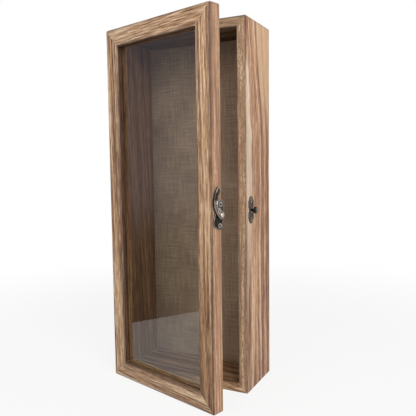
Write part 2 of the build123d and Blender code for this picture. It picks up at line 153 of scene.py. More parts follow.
# %% [markdown]
# A second class keeps one material's tree. Its add method makes any node from its type, its settings and
# its inputs, and the others name the few that come back all the time. Settings are set before the inputs,
# because an operation or a data type decides which sockets there are. Colours go through Mix, because a
# Math node would turn them grey.
#
# %% A material's tree
class Shader:
    """The node tree of a new material, or of an owner that is given."""

    def __init__(self, name, owner=None, output="ShaderNodeOutputMaterial"):
        self.owner = owner or bpy.data.materials.new(name)
        self.output = output
        self.owner.use_nodes = True
        self.tree = self.owner.node_tree
        self.tree.nodes.clear()

    def add(self, kind, settings=None, inputs=None, output=0):
        """Makes a node, sets it up, fills or links its inputs and returns one of its outputs."""
        node = self.tree.nodes.new(kind)
        for key, value in (settings or {}).items():
            setattr(node, key, value)
        for key, value in (inputs or {}).items():
            if isinstance(value, Signal):
                self.tree.links.new(value.socket, node.inputs[key])
            else:
                node.inputs[key].default_value = value
        return Signal(self, node.outputs[output]) if len(node.outputs) else node

    def place(self):
        return self.add("ShaderNodeTexCoord", output="Object")

    def split(self, vector):
        parts = self.add("ShaderNodeSeparateXYZ", inputs={0: vector}).socket.node
        return [Signal(self, socket) for socket in parts.outputs]

    def join(self, x, y, z=0.0):
        return self.add("ShaderNodeCombineXYZ", inputs={0: x, 1: y, 2: z})

    def measure(self, operation, first, second):
        """A number from two vectors, such as their distance."""
        return self.add("ShaderNodeVectorMath", {"operation": operation}, {0: first, 1: second}, output=1)

    def noise(self, vector, detail=2.0, roughness=0.5):
        return self.add("ShaderNodeTexNoise",
                        inputs={"Vector": vector, "Scale": 1.0, "Detail": detail, "Roughness": roughness})

    def specks(self, parts, per_metre, detail=2.0):
        """Noise that is as long as it is wide, with about so many specks to the metre."""
        return self.noise(self.join(*[part * per_metre for part in parts]), detail)

    def mix(self, factor, first, second, how="MIX"):
        return self.add("ShaderNodeMix", {"data_type": "RGBA", "blend_type": how},
                        {0: factor, 6: first, 7: second}, output=2)

    def shades(self, value, stops):
        """A colour ramp from (position, colour) pairs in rising order."""
        ramp = self.add("ShaderNodeValToRGB", inputs={0: value})
        elements = ramp.socket.node.color_ramp.elements
        while len(elements) < len(stops):
            elements.new(0.5)
        for element, (position, colour) in zip(elements, stops):
            element.position = position
            element.color = colour
        return ramp

    def bump(self, height, distance, strength):
        return self.add("ShaderNodeBump",
                        inputs={"Height": height, "Distance": distance, "Strength": strength})

    def ends_in(self, surface):
        self.add(self.output, inputs={"Surface": surface})
        return self.owner

    def principled(self, **inputs):
        """Ends the tree in a Principled shader; its inputs are named with _ for spaces."""
        named = {key.replace("_", " "): value for key, value in inputs.items()}
        return self.ends_in(self.add("ShaderNodeBsdfPrincipled", inputs=named))


print("a shader can", ", ".join(name for name in vars(Shader) if not name.startswith("_")))

# %% [markdown]
# Both wooden frames are boxes with an opening through them, and the torch and the brush treat them alike:
# the sharp outer edges burn darkest and thinnest, the mouth of the opening less. Wear along edges is often
# taken from how much the mesh bends, but these large flat faces have no points to hold it. So each frame is
# described once, by its half sizes, its middle and its rails' width, and masks are measured from them.
#
# %% The two frames as boxes
joints = {joint["name"]: joint for joint in frame["record"]["behaviour"]["joints"]}
hinge_axis = Vector(joints["door_hinge"]["pos_m"])
door_open = math.radians(-joints["door_hinge"]["range_deg"][0])
case_low = Vector(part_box("case_left_wall")[0])
case_high = Vector(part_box("case_right_wall")[1])
case_high.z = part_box("case_top_wall")[1].z  # an arris takes the tip off the side wall
rim_width = 12 * mm
rail_width = 22 * mm
door_gap = 1 * mm
door_thickness = 16.5 * mm
door_end_inset = 0.5 * mm

case_frame = SimpleNamespace(
    middle=Vector((0, (case_low.y + case_high.y) / 2, case_high.z / 2)),
    half=Vector((case_high.x, (case_high.y - case_low.y) / 2, case_high.z / 2)),
    rail=rim_width,
)
door_frame = SimpleNamespace(
    middle=Vector((0, case_low.y - door_gap - door_thickness / 2, case_high.z / 2)),
    half=Vector((case_high.x, door_thickness / 2, case_high.z / 2 - door_end_inset)),
    rail=rail_width,
)
print("door open by", round(math.degrees(door_open), 1), "degrees")


# %% [markdown]
# The door stands open, but its boards were cut and burnt before it was hung. Masks along its edges are
# simple only while it is shut, square with the case. So its grain is laid out there: a Mapping node turns
# the Object coordinates back about the hinge, and the pattern still rides on the door when the joint moves
# it.
#
# %% Places on the shut door
def closed_place(shader):
    """Object coordinates, turned back to where the door's pieces lie when it is shut."""
    back = Matrix.Rotation(door_open, 3, "Z")
    shift = hinge_axis - back @ hinge_axis
    return shader.add("ShaderNodeMapping", inputs={"Vector": shader.place(), "Location": shift,
                                                   "Rotation": (0, 0, door_open)})


print("the door turns about", [round(v / mm, 1) for v in hinge_axis.to_2d()], "mm")


# %% [markdown]
# Colours are easiest to choose as a screen shows them, while a shader reckons with linear light, so a
# helper turns one into the other. A node of the construction has its shape and place already: it is dressed
# by putting a material into its slot, and its mesh isn't touched.
#
# %% Colours, and dressing a node
def paint(red, green, blue):
    """A colour from the 0 to 255 values that a screen shows, as the linear values that a shader takes."""
    shares = [value / 255 for value in (red, green, blue)]
    linear = [((share + 0.055) / 1.055) ** 2.4 if share > 0.04 else share / 12.92 for share in shares]
    return (*linear, 1.0)


def dress(name, material):
    """Gives a node of the construction its finish."""
    slots = nodes[name].data.materials
    slots.clear()
    slots.append(material)


print("half grey on a screen is", round(paint(128, 128, 128)[0], 3), "of white's light")

# %% [markdown]
# Torched wood is light wood whose surface was burnt with a flame and then brushed along the grain. The soft
# early wood chars and is brushed out, and the hard late wood stays pale, so the growth rings turn into
# brown streaks. Its colours run from pale to char, with a few of their own for heart, sapwood and stained
# faces.
#
# %% Colours of torched wood
pale_wood = paint(246, 216, 182)
warm_wood = paint(204, 163, 123)
brown_wood = paint(150, 110, 76)
burnt_wood = paint(90, 62, 44)
scorched_wood = paint(78, 48, 33)
char_wood = paint(52, 35, 27)
heart_wood = paint(108, 70, 52)
edge_wood = paint(176, 145, 120)
sap_wood = paint(246, 226, 202)
young_wood = paint(216, 178, 138)
shaded_stain = paint(150, 124, 100)
# The second stain is painted shade, for the door's reveal on the hinge side and at the top.
reveal_painted_shade = paint(100, 76, 58)
rosy_tint = (1.0, 0.90, 0.87, 1)
grain_stops = [(0.39, burnt_wood), (0.455, brown_wood), (0.515, warm_wood), (0.575, pale_wood)]
print("grain goes through", len(grain_stops), "colours")

# %% [markdown]
# No two boards of the frame are alike, and each one differs from the others in only a few ways. One finish
# with choices is easier to keep in tune than eight materials. The usual choices stand here with what they
# mean, and a board names only those that it changes. Sizes among them are in mm.
#
# %% The choices for a board
usual_choices = {
    "lean": 0.0,  # how far the log leans away over the board's length, as a slope
    "bow": (0, 0, 1),  # how far the log strays, and the two places along the board between which it does
    "seed": 0.0,  # which stretch of the noise the board is cut from
    "figure": 1.0,  # how close together its rings lie
    "heart": 0.3,  # how dark the veins of winter wood are
    "fleck": 0.4,  # how dark the short brushed dashes are
    "rim_fleck": 0.0,  # how many pores show on the front rim
    "side_fleck": 0.0,  # how many pores show on the outer side
    "rim_calm": 0.0,  # how even the front rim's brown is
    "side_calm": 0.0,  # how even the outer side's brown is
    "inner_calm": 0.0,  # how even the brown of the faces inside the opening is
    "sapwood": 0.0,  # how clearly the outer side shows sapwood
    "inner": 0.8,  # how much of the stain the faces inside the opening take
    "stain": shaded_stain,
    "arris": 0.8,  # how burnt the outer arrises are
    "tones": (1, 1),  # the shade at the board's two ends, a grey or a colour, everywhere but on the side
    "side_tones": (1, 1),  # the same on the outer side
}
print("a board has", len(usual_choices), "choices")

# %% [markdown]
# A flat stripe pattern would show the same lines on every face, as printed foil does. Here each board is
# cut from an imagined log instead. The distance from the log's pith, bent by slow noise, is the same number
# on all faces of a board, so the streaks run round its edges as they do in solid wood.
#
# %% A board in its log
bends_across = 9
bends_along = 3.5
bend_reach = 8 * mm


def board_in_log(name, box, along, pith, cut):
    """One board whose grain runs along X or Z: its shader, the places on it and its distance from the pith,
    which is given in mm, across and deep."""
    shader = Shader(name)
    x, y, z = shader.split(shader.place() if box is case_frame else closed_place(shader))
    run, wide = (z, x) if along == "Z" else (x, z)
    bend = shader.noise(shader.join(wide * bends_across + cut.seed, y * bends_across, run * bends_along))
    strays, stray_from, stray_to = [size * mm for size in cut.bow]
    across = wide - pith[0] * mm + (bend - 0.5) * bend_reach
    deep = y - pith[1] * mm + run * cut.lean + run.rise(stray_from, stray_to) * strays
    ring = (across * across + deep * deep).root()
    ends = (0, case_high.z) if along == "Z" else (-case_high.x, case_high.x)
    return SimpleNamespace(shader=shader, box=box, x=x, y=y, z=z, run=run, wide=wide, ring=ring, ends=ends)


print("rings bend by up to", round(bend_reach / mm / 2, 1), "mm")

# %% [markdown]
# The brush leaves three sizes of streak: broad bands of a few rings, fine lines of one ring, and fibres
# that don't follow the rings. Each is noise that is stretched along the board. Their sum goes through the
# colour ramp, and where slow noise crosses its middle a dark vein of winter wood is drawn, which gives thin
# closed lines that a threshold can't give.
#
# %% Brushed grain
broad_rings = 150
fine_rings = 520
vein_rings = 170
fibres = 620
broad_along = 3
fine_along = 5
veins_along = 1.6
fibres_along = 42
vein_offset = 31.7
vein_width = (0.016, 0.06)
vein_shade = (0.46, 0.58)
streaky = {"detail": 3.0, "roughness": 0.65}


def brushed_grain(board, cut):
    """Adds the grain to the board, and gives the colour of its streaks and veins."""
    shader, ring, run, seed = board.shader, board.ring, board.run, cut.seed
    broad = shader.noise(shader.join(ring * (broad_rings * cut.figure) + seed, run * broad_along, seed))
    line = shader.noise(shader.join(ring * (fine_rings * cut.figure) + seed, run * fine_along, seed + 3),
                        **streaky)
    fibre = shader.noise(shader.join(board.wide * fibres, board.y * fibres, run * fibres_along + seed),
                         **streaky)
    board.line = line
    board.grain = broad * 0.25 + line * 0.36 + fibre * 0.39
    winter = shader.noise(shader.join(ring * (vein_rings * cut.figure) + vein_offset, run * veins_along,
                                      seed + 9))
    vein = abs(winter - 0.5).fall(*vein_width) * broad.fall(*vein_shade)
    return shader.mix(vein * cut.heart, shader.shades(board.grain, grain_stops), heart_wood)


print("fibres lie about", round(1 / fibres / mm, 1), "mm apart")

# %% [markdown]
# The flame strikes the outer side, the front rim and the faces inside the opening differently, so each
# needs a mask. They are measured from the frame's box: a point lies on the side if its distance from the
# side is nothing. Soft limits of about a millimetre hide that the arris is round.
#
# %% Faces of a board
face_edge = (0.3 * mm, 1.2 * mm)
rim_starts = (0.8 * mm, 1.6 * mm)


def face_masks(board):
    """Adds distances from front and side to the board, and masks of its outer side and its front rim."""
    board.from_front = board.y - (board.box.middle.y - board.box.half.y)
    board.from_side = board.box.half.x - abs(board.x)
    board.on_side = board.from_side.fall(*face_edge)
    board.on_rim = board.from_front.fall(*face_edge) * board.from_side.rise(*rim_starts)


print("faces end within", round(face_edge[1] / mm, 1), "mm")

# %% [markdown]
# Close up, brushed wood has short dark dashes where soft wood was torn out, and pores. Both are thresholds
# of noise that is finer across the board than along it. Where a face looks even in spite of its rings, a
# flat brown is laid over them first, and the pores come after it. The outer sides are a little rosier.
#
# %% Dashes and pores
dashes_across = 760
dashes_along = 130
pores_across = 620
pores_along = 260
dash_limit = (0.56, 0.68)
pore_limit = (0.47, 0.58)


def flecked(board, cut, colour):
    """Dashes and pores over the grain, and calmer or rosier faces."""
    shader, run, wide, y = board.shader, board.run, board.wide, board.y
    seed = cut.seed
    dash = shader.noise(shader.join(wide * dashes_across, y * dashes_across, run * dashes_along + seed))
    pore = shader.noise(shader.join(wide * pores_across, y * pores_across, run * pores_along + seed),
                        detail=3.0)
    board.dash = dash.rise(*dash_limit)
    pore_share = board.on_rim * cut.rim_fleck + board.on_side * cut.side_fleck
    colour = shader.mix(board.dash * cut.fleck, colour, burnt_wood)
    colour = shader.mix(board.on_rim * cut.rim_calm, colour, edge_wood)
    colour = shader.mix(pore.rise(*pore_limit) * pore_share, colour, brown_wood)
    colour = shader.mix(board.on_side * cut.side_calm, colour, edge_wood)
    return shader.mix(board.on_side, colour, rosy_tint, "MULTIPLY")


print("a dash is about", round(dashes_across / dashes_along), "times as long as it is wide")

# %% [markdown]
# The case's right board was sawn near the bark. Pale sapwood shows in a band along its front edge that
# swells at half height, young wood lies behind a dark last ring at the top, and a second pale streak slants
# away from the edge low down. The rings show by themselves where the young wood lies; the band and the
# streak are drawn from the distance to the front, with the fine grain breaking their edges.
#
# %% Sapwood on one side
band_width = 15 * mm
band_ragged = 12 * mm
ragged_along = 20
band_edge = (0.5 * mm, 2.5 * mm)
band_swells = (40 * mm, 250 * mm)
band_thins = (280 * mm, 440 * mm)
band_pales = (60 * mm, 330 * mm)
band_ends = (396 * mm, 416 * mm)
streak_slope = 0.19
streak_start = 3 * mm
streak_width = (2 * mm, 6 * mm)
streak_ends = (110 * mm, 220 * mm)
young_starts = (290 * mm, 390 * mm)
young_rings = (84 * mm, 88 * mm)
last_ring_radius = 83 * mm
last_ring_width = (0.6 * mm, 2.2 * mm)


def with_sapwood(board, cut, colour):
    """Pale sapwood, young wood and the dark ring between them, on the outer side."""
    shader, run, line = board.shader, board.run, board.line
    swell = run.fall(*band_thins) * run.rise(*band_swells)
    ragged = shader.noise(shader.join(run * ragged_along, cut.seed, cut.seed)) - line
    width = swell * band_width + ragged * band_ragged
    sap = (board.from_front - width).fall(*band_edge) * board.on_side * (line * 1.2 + 0.4)
    sap = sap * run.fall(*band_ends) * (run.rise(*band_pales) * 0.7 + 0.3)
    from_streak = abs(board.from_front - run * streak_slope - streak_start)
    low_down = run.fall(*streak_ends) * board.on_side * (line * 0.9 + 0.15)
    high_up = run.rise(*young_starts) * board.on_side
    young = (board.ring.rise(*young_rings) * high_up).most(from_streak.fall(*streak_width) * low_down)
    last_ring = abs(board.ring - last_ring_radius).fall(*last_ring_width) * high_up
    colour = shader.mix(sap * cut.sapwood, colour, sap_wood)
    colour = shader.mix(young * cut.sapwood, colour, young_wood)
    return shader.mix(last_ring * cut.sapwood, colour, heart_wood)


print("the band of sapwood is about", round(band_width / mm), "mm wide")

# %% [markdown]
# An edge is where two of a point's three distances to the box's faces are nothing, so its distance from an
# edge is the second smallest of the three. The opening's mouth is as far in as the rail is wide. The mitres
# lie where the distances from side and end are equal: a dark joint with the light cut fibres beside it.
#
# %% Edges of a frame
arris_width = (0.6 * mm, 2.4 * mm)
mouth_width = (0.3 * mm, 1.8 * mm)
singed_width = (0.5 * mm, 5.5 * mm)
wall_depth = (0.25 * mm, 0.6 * mm)
behind_mouth = (0.8 * mm, 2.0 * mm)
dark_line_from_mitre = -0.4 * mm
dark_line_width = (0.15 * mm, 0.6 * mm)
light_line_from_mitre = 0.5 * mm
light_line_width = (0.15 * mm, 0.8 * mm)


def edge_masks(board):
    """Masks from 0 to 1: the outer arrises, the mouth's edge, the singed wood beside both, the faces inside
    the opening, and the mitres' dark and light lines."""
    box, across = board.box, board.from_side
    deep = box.half.y - abs(board.y - box.middle.y)
    tall = box.half.z - abs(board.z - box.middle.z)
    second_nearest = across.least(deep).most(across.most(deep).least(tall))
    from_wall = abs(across.least(tall) - box.rail)
    from_mouth = from_wall.most(board.from_front)
    past_mitre = across - tall
    return SimpleNamespace(
        outer=second_nearest.fall(*arris_width),
        mouth=from_mouth.fall(*mouth_width),
        singed=second_nearest.least(from_mouth).fall(*singed_width),
        inside=from_wall.fall(*wall_depth) * board.from_front.rise(*behind_mouth),
        dark_line=abs(past_mitre - dark_line_from_mitre).fall(*dark_line_width),
        light_line=abs(past_mitre - light_line_from_mitre).fall(*light_line_width),
    )


print("arrises are burnt", round(arris_width[1] / mm, 1), "mm wide")

# %% [markdown]
# The torch runs along the edges last. It chars the arrises and the mouth in patches, singes the wood beside
# them, and leaves the outer sides cleaner. On the board with the sapwood, the arrises are burnt harder near
# the top. Faces inside the opening were stained and not brushed, so stain multiplies their colour. On the
# door's hinge stile and top rail the darker stain is painted shade, which lies in the reveal there.
#
# %% Torched edges
patches = 90
burnt_top = (385 * mm, 410 * mm)


def torched_edges(board, cut, colour):
    """Stain inside the opening, which is painted shade on two door boards, char along edges and mitre
    lines.
    """
    shader, edges = board.shader, edge_masks(board)
    board.joint = edges.dark_line
    patchy = shader.specks((board.x, board.y, board.z), patches) * 0.9 + 0.5
    singed = edges.singed * patchy * (1 - board.on_side * 0.8) * (cut.arris * 0.4)
    arris = board.run.rise(*burnt_top) * (cut.sapwood * 0.8) + cut.arris
    colour = shader.mix(edges.inside * cut.inner_calm, colour, brown_wood)
    colour = shader.mix(edges.inside * cut.inner, colour, cut.stain, "MULTIPLY")
    colour = shader.mix(singed.least(0.8), colour, burnt_wood)
    colour = shader.mix((edges.outer * patchy * arris).least(0.92), colour, scorched_wood)
    colour = shader.mix((edges.mouth * patchy * 0.6).least(0.8), colour, char_wood)
    colour = shader.mix(edges.dark_line * 0.6, colour, char_wood)
    return shader.mix(edges.light_line * 0.45, colour, pale_wood)


print("char comes in patches of about", round(1 / patches / mm), "mm")

# %% [markdown]
# A board is rarely as dark at one end as at the other, because the flame lingers. A ramp between two tones
# is multiplied with its colour, and the outer side has two tones of its own. On the case's top wall the
# tones are partly painted shade, and on the glazing beads they are wholly painted light and shade. Then the
# tree ends in one shader: the relief is the grain itself, with the dashes and joints sunk, and pale hard
# wood is a little glossier.
#
# %% The finish of a board
relief_depth = 0.4 * mm


def end_to_end(board, tones):
    """A shade from one tone, a grey or a colour, at the board's low end to another at its high end."""
    low_end, high_end = board.ends
    share = (board.run - low_end) * (1 / (high_end - low_end))
    colours = [Vector((1, 1, 1)) * tone if isinstance(tone, (int, float)) else tone for tone in tones]
    return board.shader.shades(share, [(place, (*colour, 1)) for place, colour in enumerate(colours)])


def torched_wood(name, box, along, pith, **choices):
    """The finish of one board of a frame, from the way its grain runs, its log's pith and its choices."""
    cut = SimpleNamespace(**{**usual_choices, **choices})
    board = board_in_log(name, box, along, pith, cut)
    shader = board.shader
    face_masks(board)
    colour = flecked(board, cut, brushed_grain(board, cut))
    if cut.sapwood:
        colour = with_sapwood(board, cut, colour)
    colour = torched_edges(board, cut, colour)
    colour = shader.mix(1 - board.on_side, colour, end_to_end(board, cut.tones), "MULTIPLY")
    colour = shader.mix(board.on_side, colour, end_to_end(board, cut.side_tones), "MULTIPLY")
    relief = board.grain - board.dash * 0.15 - board.joint * 0.3
    return shader.principled(Base_Color=colour, Roughness=0.74 - board.grain * 0.3,
                             Normal=shader.bump(relief, distance=relief_depth, strength=0.8))


print("brushing leaves a relief of", round(relief_depth / mm, 1), "mm")

# %% [markdown]
# Now each board is cut from its own log. A pith far off to one side gives straight close lines, a near one
# gives wide arches. The door's boards were burnt harder than the case's, so the usual char differs.
#
# %% The eight boards
case_boards = {
    "case_left_wall": dict(along="Z", pith=(20, -230), lean=0.05, seed=4.0, inner_calm=0.45),
    "case_right_wall": dict(along="Z", pith=(50, -60), bow=(26, 290, 470), seed=1.0, figure=0.9, heart=1.0,
                            sapwood=0.65, rim_fleck=0.7, side_fleck=0.25, rim_calm=0.45, tones=(0.95, 1.0),
                            side_tones=(0.86, 1.0)),
    # The top wall's dark tones are partly its torched colour and partly painted shade: its rim and inside
    # lie in shade.
    "case_top_wall": dict(along="X", pith=(300, -160), lean=0.12, seed=7.0, inner=0.7,
                          tones=((0.30, 0.26, 0.22), (0.42, 0.36, 0.30))),
    "case_bottom_wall": dict(along="X", pith=(120, 190), lean=0.08, seed=2.5),
}
door_boards = {
    # On the hinge stile and the top rail, the darker stain is painted shade in the reveal.
    "door_hinge_stile": dict(along="Z", pith=(-190, -130), lean=0.03, seed=5.5, arris=0.7, inner=0.95,
                             stain=reveal_painted_shade, tones=(0.75, 0.85)),
    "door_latch_stile": dict(along="Z", pith=(0, -130), lean=0.012, seed=8.0, heart=0.6, side_fleck=0.35,
                             side_calm=0.45, tones=((0.42, 0.34, 0.24), 1.0), side_tones=(1.1, 0.80)),
    "door_top_rail": dict(along="X", pith=(560, -160), lean=0.06, seed=3.0, arris=0.6, inner=0.95,
                          stain=reveal_painted_shade, tones=(0.7, 0.95)),
    "door_bottom_rail": dict(along="X", pith=(-120, -150), lean=0.04, seed=6.0, tones=(0.70, 0.70)),
}
for box, usual_arris, boards in ((case_frame, 0.4, case_boards), (door_frame, 0.9, door_boards)):
    for node, choices in boards.items():
        dress(node, torched_wood(f"torched_{node}", box, **{"arris": usual_arris, **choices}))
    print("wood for", ", ".join(boards))

# %% [markdown]
# The glazing beads are strips of the same wood behind the pane, with the same finish and one tone from end
# to end. Their tones are painted light: the side and top beads lie in the frame's shade and take a dark
# tone as painted shade, and the bottom one catches the light and takes a pale tone as painted light.
#
# %% Glazing beads
# Painted shade for the side and top beads, and painted light for the bottom one.
shaded_bead_tone = (0.46, 0.32, 0.20)
lit_bead_tone = (1.0, 0.95, 0.82)
bead_cuts = {
    "left": ("Z", (-200, -130), shaded_bead_tone),
    "right": ("Z", (200, -150), shaded_bead_tone),
    "top": ("X", (600, -120), shaded_bead_tone),
    "bottom": ("X", (-150, -120), lit_bead_tone),
}
for side, (along, pith, tone) in bead_cuts.items():
    dress(f"glazing_bead_{side}", torched_wood(f"painted_light_bead_{side}", door_frame, along, pith,
                                               tones=(tone, tone), seed=len(side), inner=0.3))
print("wood for", len(bead_cuts), "beads")

# %% [markdown]
# What closes the case at the rear is plain: a brown fibreboard panel and a soft pinboard behind the cloth.
# Both are felted fibres. A picture of real felt would show its seams on such a large panel, so specks,
# short hairs and slow patches of noise describe it, with almost no gloss.
#
# %% Rear boards
felt_specks = 900
felt_patches = 25
hairs_deep = 700
hairs_in_all = 2400


def felted_board(name, light, dark, hairs_along):
    """Felted fibres. The fewer hairs follow each other along X, the longer they lie that way."""
    shader = Shader(name)
    place = shader.split(shader.place())
    x, y, z = place
    hair = shader.noise(shader.join(x * hairs_along, y * hairs_deep, z * (hairs_in_all - hairs_along)),
                        detail=3.0)
    speck = shader.specks(place, felt_specks, detail=4.0)
    felt = speck * 0.4 + hair * 0.35 + shader.specks(place, felt_patches) * 0.25
    colour = shader.shades(felt, [(0.38, dark), (0.62, light)])
    return shader.principled(Base_Color=colour, Roughness=0.9 - felt * 0.1,
                             Normal=shader.bump(felt, distance=0.15 * mm, strength=0.6))


dress("back_panel", felted_board("brown_fibreboard", paint(150, 118, 88), paint(98, 72, 50),
                                 hairs_along=500))
dress("backing_board", felted_board("soft_pinboard", paint(196, 172, 138), paint(150, 126, 96),
                                    hairs_along=900))
print("felt for the back panel and the pinboard")

# %% [markdown]
# The nails, points and the hanger are zinc-plated steel: a bright metal with a faint spangle of crystals.
# The spangle is a Voronoi pattern, because crystals have straight borders, which noise hasn't. It moves the
# roughness more than the colour. Nails sunk in the wood are dull.
#
# %% Zinc-plated steel
crystals = 420
smears = 160


def zinc_plate(name, dark, light):
    """Zinc-plated steel with a spangle of crystals."""
    shader = Shader(name)
    place = shader.split(shader.place())
    spread = shader.join(*[part * crystals for part in place])
    crystal = shader.add("ShaderNodeTexVoronoi", inputs={"Vector": spread, "Scale": 1.0}, output="Color")
    shade = shader.split(crystal)[0]
    smear = shader.specks(place, smears, detail=4.0)
    colour = shader.shades(shade * 0.5 + smear * 0.5, [(0.2, dark), (0.8, light)])
    return shader.principled(Base_Color=colour, Metallic=1.0, Roughness=0.26 + shade * 0.12 + smear * 0.12,
                             Normal=shader.bump(smear, distance=0.05 * mm, strength=0.4))


bright_zinc = zinc_plate("bright_zinc", paint(158, 160, 164), paint(206, 208, 212))
dull_zinc = zinc_plate("dull_zinc", paint(72, 68, 64), paint(104, 98, 92))
zinc_nodes = {
    "back_panel_points": bright_zinc,
    "sawtooth_hanger": bright_zinc,
    "hanger_nails": bright_zinc,
    "case_corner_v_nails": dull_zinc,
    "door_corner_v_nails": dull_zinc,
    "bead_brads": dull_zinc,
}
for node, zinc in zinc_nodes.items():
    dress(node, zinc)
print("zinc for", ", ".join(zinc_nodes))

# %% [markdown]
# The pane is clear sheet glass. A full glass shader would need many bounces to light the cloth behind it,
# and a thin flat pane hardly bends light. So it is mixed from a Transparent shader, tinted as soda glass
# is, and a mirror, by the Fresnel share. Faces seen from inside the glass give no mirror, and the faces in
# front give half as much again for them. Slow smudges vary it.
#
# %% Glass
soda_glass_ior = 1.52
soda_glass_tint = (0.93, 0.96, 0.95, 1)
both_faces = 1.45
smudges = 14


def clear_glass():
    """A clear pane that mirrors by the Fresnel share."""
    shader = Shader("clear_sheet_glass")
    fresnel = shader.add("ShaderNodeFresnel", inputs={"IOR": soda_glass_ior})
    from_inside = shader.add("ShaderNodeNewGeometry", output="Backfacing")
    smudge = shader.specks(shader.split(shader.place()), smudges, detail=3.0)
    share = fresnel * (1 - from_inside) * (smudge * 0.25 + both_faces)
    clear = shader.add("ShaderNodeBsdfTransparent", inputs={"Color": soda_glass_tint})
    mirror = shader.add("ShaderNodeBsdfGlossy", inputs={"Roughness": 0.0})
    return shader.ends_in(shader.add("ShaderNodeMixShader", inputs={0: share, 1: clear, 2: mirror}))


dress("door_glass", clear_glass())
print("glass for the pane")


# %% [markdown]
# A piece that is remade here stands for its node, which it hides, rides on the same body and takes the
# finish that it is given. Every one of them goes through the same calls, so they are wrapped once. Its
# object stays at the origin, with its place in its mesh, as the construction's own nodes have it. Faces are
# shaded smooth, and only the edges that bend more than an angle stay crisp.
#
# %% Pieces that stand for nodes
def new_piece(name, shape, body, slot, material, *replaced):
    """Makes an object of a bmesh, hides the nodes that it stands for and attaches it to what it rides on.
    """
    mesh = bpy.data.meshes.new(name)
    shape.to_mesh(mesh)
    shape.free()
    mesh.materials.append(material)
    piece = bpy.data.objects.new(name, mesh)
    bpy.context.scene.collection.objects.link(piece)
    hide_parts(*replaced)
    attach(piece, body)
    print(name, len(mesh.polygons), "faces")
    return piece


def smooth_faces(shape, sharp_angle):
    """Smooth shading that keeps edges sharper than the angle crisp."""
    for face in shape.faces:
        face.smooth = True
    for edge in shape.edges:
        if len(edge.link_faces) == 2:
            edge.smooth = edge.calc_face_angle(0) < math.radians(sharp_angle)


print("the construction has", len(nodes), "nodes")

# %% [markdown]
# The linen is one sheet pulled over the front and sides of the soft board. A cloth simulation would find
# the same flat shape, since nothing hangs, so it is modelled directly. It starts as a grid the size of the
# front, its rim is extruded back along the board's sides, and the fold between them gets a small bevel.
#
# %% The linen's shape
linen_low, linen_high = [Vector(corner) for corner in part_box("backing_cloth")]
linen_middle = (linen_low + linen_high) / 2
linen_half = (linen_high - linen_low) / 2
linen_fold = 0.7 * mm
linen_cell = 2.5 * mm

linen = bmesh.new()
bmesh.ops.create_grid(linen, x_segments=round(2 * linen_half.x / linen_cell),
                      y_segments=round(2 * linen_half.z / linen_cell), size=1.0)
bmesh.ops.scale(linen, vec=(linen_half.x, linen_half.z, 1), verts=linen.verts)
bmesh.ops.rotate(linen, matrix=Matrix.Rotation(math.radians(90), 3, "X"), verts=linen.verts)
bmesh.ops.translate(linen, vec=(linen_middle.x, linen_low.y, linen_middle.z), verts=linen.verts)
rim = [edge for edge in linen.edges if edge.is_boundary]
hem = bmesh.ops.extrude_edge_only(linen, edges=rim)["geom"]
hem_points = [item for item in hem if isinstance(item, bmesh.types.BMVert)]
bmesh.ops.translate(linen, vec=(0, linen_high.y - linen_low.y, 0), verts=hem_points)
bmesh.ops.bevel(linen, geom=rim, affect="EDGES", offset=linen_fold, segments=3, profile=0.5, material=-1)
bmesh.ops.recalc_face_normals(linen, faces=linen.faces)
print("the sheet has", len(linen.faces), "cells")

# %% [markdown]
# The weave has to turn the fold with the cloth, so it can't be laid out in space. A UV map in metres runs
# on over the fold: on the sides, the way back along the board is added to the place on the front. Last,
# slow noise lets the front lie a tenth of a millimetre uneven, as stretched cloth does.
#
# %% The linen's weave map, and its unevenness
front_depth = 0.1 * mm
unevenness = 0.15 * mm
waves = 18

weave_map = linen.loops.layers.uv.new("weave")
for face in linen.faces:
    for corner in face.loops:
        place = corner.vert.co
        up = place.z - linen_middle.z
        back = place.y - linen_low.y
        past_side = back if abs(place.x) > linen_half.x - linen_fold else 0
        past_end = back if abs(up) > linen_half.z - linen_fold else 0
        corner[weave_map].uv = (place.x + math.copysign(past_side, place.x),
                                place.z + math.copysign(past_end, up))
for point in linen.verts:
    if point.co.y < linen_low.y + front_depth:
        point.co.y += unevenness * noise.noise(point.co * waves)
smooth_faces(linen, sharp_angle=80)
print("the front is uneven by up to", round(unevenness / mm, 2), "mm")

# %% [markdown]
# Coarse plain weave has threads of uneven thickness and colour, each over one and under one. Two sines give
# the round threads, and the sign of their product says which of them lies on top, as on a chessboard.
# Threads keep one shade for a long way along themselves and change from one to the next, which long thin
# noise gives.
#
# %% Woven linen
weave_pitch = 1.4 * mm
thread_changes = 0.9 / weave_pitch
thread_keeps = 30
sways = 60
lint = 2600
faded_patches = 22
crossing = (-0.12, 0.12)
gap_shade_depth = (0.1, 0.6)
dark_linen = paint(124, 98, 78)
middle_linen = paint(160, 130, 106)
light_linen = paint(192, 163, 138)
gap_shade_linen = paint(72, 52, 40)


